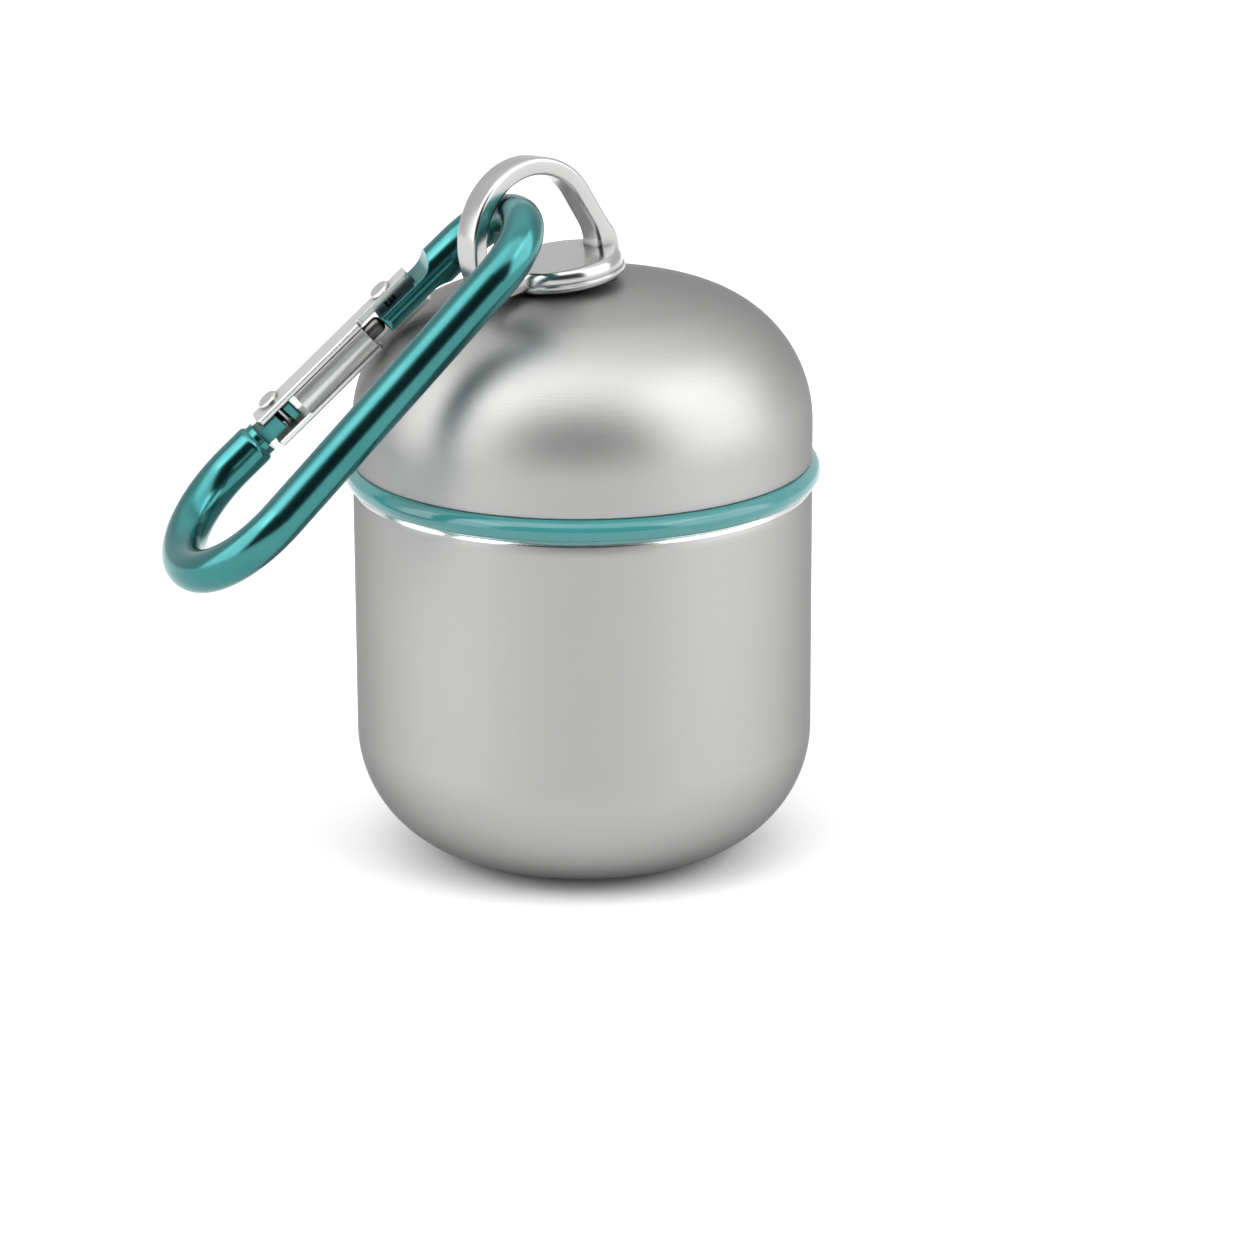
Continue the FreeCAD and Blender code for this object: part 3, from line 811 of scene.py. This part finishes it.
@dataclass
class Eye:
    """The cast eye: a stepped disc on a stud, and a loop whose foot flares into the disc.

    The disc sits a little off the stud, so its outline is moved by an eased share of its radius.
    """

    spot: Point = (-1.0628, -1.1892, 45.1267)
    lean: float = 7.4
    lean_azimuth: float = 200.0
    loop_azimuth: float = 41.0
    disc: float = 4.75
    disc_shift: Pair = (-0.15, 0.3)
    disc_thick: float = 1.65
    disc_top: float = 4.0
    disc_under: float = 0.35
    disc_low: float = -0.001
    around: int = 160
    flange: float = 0.6
    flange_soft: float = 0.08
    flange_turn: float = 80.0
    groove: float = 0.12
    groove_deep: float = 0.14
    groove_low: float = 0.03
    roundness: float = 0.8
    stud: float = 1.0
    tail: float = 1.9
    tail_top: float = -3.3
    tail_height: float = 0.8
    soft: float = 0.22
    bow_spot: Pair = (-3.10033, 3.88996)
    bow: float = 5.49
    leg_turn: float = 25.0
    foot_low: float = 0.9
    foot_bend: float = 3.0
    foot_top: float = 1.4
    heel: float = 2.25
    heel_start: float = 192.0
    heel_end: float = -3.3
    thick: float = 1.34
    width: float = 2.2
    corner: float = 0.3
    flare_in: float = 0.75
    flare_out: float = 0.25
    flare_reach: float = 2.4
    flare_power: float = 1.5

    def matrix(self) -> Matrix:
        """Works out the eye's place: flat against the crown and turned about its own stud.

        Returns:
            The matrix from the eye's own axes to the part's.
        """
        lean, azimuth = math.radians(self.lean), math.radians(self.lean_azimuth)
        side = math.sin(lean)
        normal = Vector((side * math.cos(azimuth), side * math.sin(azimuth), math.cos(lean)))
        tilt = Vector((0.0, 0.0, 1.0)).rotation_difference(normal)
        turn = Quaternion((0.0, 0.0, 1.0), math.radians(self.loop_azimuth))
        return Matrix.Translation(Vector(self.spot) * MM) @ (tilt @ turn).to_matrix().to_4x4()

    def disc_and_stud(self) -> bpy.types.Object:
        """Turns the peened tail, stud, flange, groove and rounded shoulder, and shifts the disc.

        Returns:
            The turned part, in the eye's own axes.
        """
        low = self.tail_top - self.tail_height
        flange_end = self.flange - self.flange_soft
        groove_top = self.flange + self.groove
        profile = chain(
            line((0.0, low), (self.tail - self.soft, low), 4),
            arc((self.tail - self.soft, low + self.soft), self.soft, -90.0, 0.0, 8),
            line((self.tail, low + self.soft), (self.tail, self.tail_top), 3),
            line((self.tail, self.tail_top), (self.stud, self.tail_top), 3),
            line((self.stud, self.tail_top), (self.stud, 0.0), 4),
            line((self.stud, 0.0), (self.disc - self.disc_under, 0.0), 4),
            arc((self.disc - self.disc_under, self.disc_under), self.disc_under, -90.0, 0.0, 10),
            line((self.disc, self.disc_under), (self.disc, flange_end), 3),
            arc((self.disc - self.flange_soft, flange_end), self.flange_soft, 0.0, self.flange_turn, 5),
            line(
                (self.disc - self.groove_deep, self.flange + self.groove_low),
                (self.disc - self.groove, groove_top),
                3,
            ),
            self._shoulder(groove_top, self.disc_thick - self.flange - self.groove),
            line((self.disc_top, self.disc_thick), (0.0, self.disc_thick), 8),
        )
        disc = turned("eye_disc", profile, self.around)
        points = np.empty(3 * len(disc.data.vertices), dtype=np.float32)
        disc.data.vertices.foreach_get("co", points)
        points = points.reshape(-1, 3)
        outward = eased((np.hypot(points[:, 0], points[:, 1]) / MM - self.stud) / (self.disc - self.stud))
        above = points[:, 2] >= self.disc_low * MM
        points[:, :2] += np.outer(outward * above, self.disc_shift) * MM
        disc.data.vertices.foreach_set("co", points.ravel())
        return disc

    def _shoulder(self, low: float, rise: float) -> Array:
        """Shapes a quarter of a rounded square from the disc's wall to its flat top.

        The reach inward and the rise follow one minus the cosine's and the sine's power.

        Args:
            low: The height that it starts at.
            rise: How far it rises.

        Returns:
            Rows of radius and height.
        """
        angle = np.linspace(0.0, np.pi / 2.0, 16)
        reach = self.disc - self.groove - self.disc_top
        radius = self.disc_top + reach * np.cos(angle) ** self.roundness
        return np.column_stack((radius, low + rise * np.sin(angle) ** self.roundness))

    def path(self) -> Array:
        """Lays out the loop's middle line: bent foot, straight leg, bow, heel and run into the disc.

        Returns:
            Rows of X and Z in the eye's own axes.
        """
        lean = math.radians(self.leg_turn)
        bow_x, bow_z = self.bow_spot
        top = (bow_x + self.bow * math.cos(lean), bow_z + self.bow * math.sin(lean))
        bend_z = self.foot_top + self.foot_bend * math.sin(lean)
        bend_x = top[0] + (top[1] - bend_z) * math.tan(lean)
        foot_x = bend_x + self.foot_bend * (1.0 - math.cos(lean))
        begin = math.radians(self.heel_start)
        heel_x = bow_x + (self.bow - self.heel) * math.cos(begin)
        heel_z = bow_z + (self.bow - self.heel) * math.sin(begin)
        return chain(
            line((foot_x, self.foot_low), (foot_x, self.foot_top), 10),
            arc((foot_x - self.foot_bend, self.foot_top), self.foot_bend, 0.0, self.leg_turn, 24),
            line((bend_x, bend_z), top, 40),
            arc(self.bow_spot, self.bow, self.leg_turn, self.heel_start, 120),
            arc((heel_x, heel_z), self.heel, self.heel_start, 270.0, 30),
            line((heel_x, heel_z - self.heel), (self.heel_end, heel_z - self.heel), 8),
        )

    def section(self) -> Array:
        """Shapes the loop's section, a rectangle with rounded corners.

        Returns:
            Rows of the part outward and the part across.
        """
        half_thick, half_width, soft = self.thick / 2.0, self.width / 2.0, self.corner
        parts = []
        for turn, outward, across in ((0.0, 1, 1), (90.0, -1, 1), (180.0, -1, -1), (270.0, 1, -1)):
            centre = (outward * (half_thick - soft), across * (half_width - soft))
            parts.append(arc(centre, soft, turn, turn + 90.0, 8))
        return chain(*parts)

    def loop(self) -> bpy.types.Object:
        """Carries the section along the path.

        A point is the path's point, plus the path's outward normal times the section's outward part,
        plus the eye's Y axis times its part across. Near the foot the outward part grows by an eased
        share of the height, more on the inner side than on the outer one.

        Returns:
            The loop, in the eye's own axes.
        """
        path, section = self.path(), self.section()
        along = np.gradient(path, axis=0)
        along /= np.linalg.norm(along, axis=1)[:, None]
        normal = np.column_stack((along[:, 1], -along[:, 0]))
        rise = np.where(path[:, 0] > 0.0, path[:, 1] - self.disc_thick, self.flare_reach)
        flare = eased(1.0 - rise / self.flare_reach)[:, None] ** self.flare_power
        outward = section[None, :, 0]
        growth = np.where(outward > 0.0, self.flare_out, self.flare_in)
        grown = outward * (1.0 + growth * flare)
        across = np.broadcast_to(section[None, :, 1], grown.shape)
        reach = path[:, None, :] + normal[:, None, :] * grown[:, :, None]
        points = np.stack((reach[:, :, 0], across, reach[:, :, 1]), axis=-1).reshape(-1, 3)
        rows, columns = grown.shape
        first = np.arange(columns)[None, ::-1]
        last = ((rows - 1) * columns + np.arange(columns))[None, :]
        return make_mesh("eye_loop", points, (grid_faces(rows, columns, close_rows=False), first, last))

    def build(self, metal: bpy.types.Material) -> None:
        """Builds the disc with its stud, and the loop.

        Args:
            metal: The eye's finish.
        """
        for piece in (self.disc_and_stud(), self.loop()):
            place_mesh(piece, self.matrix())
            finish_piece(piece, metal, Body.EYE, "swivel_eye")


# Carabiner and small parts


@dataclass
class SmallParts:
    """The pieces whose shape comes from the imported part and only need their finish."""

    teal: Finish = AnodisedTeal("teal_anodised")
    gate: Finish = Polished("gate_aluminium", colour=(0.64, 0.64, 0.63), roughness=0.34, edge=0.00012)
    steel: Finish = Polished("rivet_steel", colour=(0.52, 0.52, 0.51), roughness=0.22, edge=0.00008)
    dark: Finish = Polished("plunger_steel", colour=(0.16, 0.155, 0.15), roughness=0.30, edge=0.00005)
    washer: Finish = Polished("washer_steel", colour=(0.60, 0.60, 0.60), roughness=0.30, edge=0.00008)
    wire: Finish = Polished("spring_wire", colour=(0.50, 0.50, 0.50), roughness=0.25, edge=0.00002)
    gate_way: Point = (0.71721, 0.12840, 0.68493)
    spring_end: Point = (-20.0964, -4.8268, 37.5654)
    spring_length: float = 4.1
    plunger_travel: float = 1.03

    def build(self) -> None:
        """Dresses each node, and gives the spring a mesh of its own."""
        steel = self.steel.material()
        for node, material in (
            ("carabiner_hook", self.teal.material()),
            ("gate_bar", self.gate.material()),
            ("gate_pivot", steel),
            ("gate_latch_pin", steel),
            ("gate_plunger", self.dark.material()),
            ("gate_spring", self.wire.material()),
            ("eye_washer", self.washer.material()),
        ):
            dress_node(node, material)
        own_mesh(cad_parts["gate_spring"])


# Studio


@dataclass(frozen=True)
class SoftBox:
    """A soft rectangular light of the room, far away in one direction.

    The azimuth is counted from the front, where the camera stands, towards the right. Both angles and
    both half sizes are in degrees. Nothing of the box shows where its part towards the viewer is under
    the first grazing limit, and all of it from the second on.
    """

    azimuth: float
    elevation: float
    half_wide: float
    half_high: float
    level: float
    soft: float = 0.12
    grazing: Pair = (0.02, 0.10)

    def light(self, graph: Graph, way: Signal) -> Signal:
        """Works out the box's brightness in each direction.

        The direction is measured across and up over its part towards the box, and each measure fades
        from one to nothing at the box's edge.

        Args:
            graph: The world's nodes.
            way: The direction.

        Returns:
            The brightness.
        """
        azimuth, elevation = math.radians(self.azimuth), math.radians(self.elevation)
        right = (math.cos(azimuth), math.sin(azimuth), 0.0)
        flat, rise = math.cos(elevation), math.sin(elevation)
        ahead = (math.sin(azimuth) * flat, -math.cos(azimuth) * flat, rise)
        up = (-math.sin(azimuth) * rise, math.cos(azimuth) * rise, flat)
        wide, high = math.tan(math.radians(self.half_wide)), math.tan(math.radians(self.half_high))
        towards = graph.dot(way, ahead)
        across = graph.fade(graph.dot(way, right) / towards, wide, self.soft)
        along = graph.fade(graph.dot(way, up) / towards, high, self.soft)
        return graph.ramp(towards, *self.grazing) * across * along * self.level


@dataclass
class Studio:
    """White ground and a dim room with soft boxes, dark behind the camera."""

    floor_half: float = 4000.0
    ceiling: float = 0.75
    ceiling_edge: Pair = (0.5, 1.0)
    back: float = 0.85
    front: float = 0.04
    back_edge: Pair = (-0.3, 0.4)
    boxes: tuple[SoftBox, ...] = (
        SoftBox(0.0, 66.0, 42.0, 20.0, 1.7),
        SoftBox(-70.0, 18.0, 26.0, 30.0, 2.9),
        SoftBox(72.0, 20.0, 28.0, 32.0, 2.8),
    )
    sun_power: float = 0.35
    sun_angle: float = 50.0
    sun_way: Point = (0.5, 0.35, -1.0)

    def floor(self) -> None:
        """Lays the ground, a flat square."""
        half = self.floor_half
        points = np.array([(-half, -half, 0.0), (half, -half, 0.0), (half, half, 0.0), (-half, half, 0.0)])
        piece = make_mesh("ground", points, (np.array([[0, 1, 2, 3]]),))
        piece.data.materials.append(WhiteFloor("white_ground").material())

    def sun(self) -> None:
        """Hangs one wide soft lamp at the upper left."""
        lamp = bpy.data.lights.new("soft_lamp", "SUN")
        lamp.energy = self.sun_power
        lamp.angle = math.radians(self.sun_angle)
        holder = bpy.data.objects.new("soft_lamp", lamp)
        holder.rotation_euler = Vector(self.sun_way).to_track_quat("-Z", "Y").to_euler()
        bpy.context.scene.collection.objects.link(holder)

    def room(self) -> None:
        """Lights the room: dim behind the camera, paler overhead and behind the object, with soft boxes."""
        world = bpy.data.worlds.new("room")
        bpy.context.scene.world = world
        world.use_nodes = True
        graph = Graph(world.node_tree)
        way = graph.node("ShaderNodeTexCoord", output="Generated")
        _, ahead, up = graph.split(way)
        level = self.front + graph.ramp(ahead, *self.back_edge) * (self.back - self.front)
        level = level + graph.ramp(up, *self.ceiling_edge) * self.ceiling
        for box in self.boxes:
            level = level + box.light(graph, way)
        sky = graph.node("ShaderNodeBackground", inputs={"Color": level, "Strength": 1.0})
        graph.node("ShaderNodeOutputWorld", inputs={"Surface": sky})

    def build(self) -> None:
        """Builds the ground, the lamp and the room."""
        self.floor()
        self.sun()
        self.room()
        bpy.context.scene.view_settings.view_transform = "Standard"
        log.info("studio: %d soft boxes", len(self.boxes))


@dataclass
class PhotoCamera:
    """The camera at the photograph's viewing angle."""

    place: Point = (3.1443, -376.42, 137.10)
    pitch: float = 0.3081
    roll: float = -0.0036
    lens: float = 147.96
    sensor: float = 36.0
    nearest: float = 0.01
    farthest: float = 20.0

    def build(self) -> None:
        """Adds the camera and makes it the scene's own."""
        ahead = Vector((0.0, math.cos(self.pitch), -math.sin(self.pitch)))
        level = Vector((1.0, 0.0, 0.0))
        upright = level.cross(ahead)
        right = level * math.cos(self.roll) + upright * math.sin(self.roll)
        up = upright * math.cos(self.roll) - level * math.sin(self.roll)
        pose = Matrix((right, up, -ahead)).transposed().to_4x4()
        pose.translation = Vector(self.place) * MM
        data = bpy.data.cameras.new("camera")
        data.sensor_width = self.sensor
        data.lens = self.lens
        data.clip_start = self.nearest
        data.clip_end = self.farthest
        holder = bpy.data.objects.new("camera", data)
        holder.matrix_world = pose
        bpy.context.scene.collection.objects.link(holder)
        bpy.context.scene.camera = holder


def main() -> None:
    """Builds the part's looks, piece by piece."""
    logging.basicConfig(level=logging.INFO, format="%(name)s %(message)s")
    PhotoCamera().build()
    Studio().build()
    Capsule().build(BlastedAluminium("blasted_aluminium").material())
    SealRing().build(GlossyRubber("teal_rubber").material())
    Eye().build(Polished("eye_chrome").material())
    SmallParts().build()


if __name__ == "__main__":
    main()
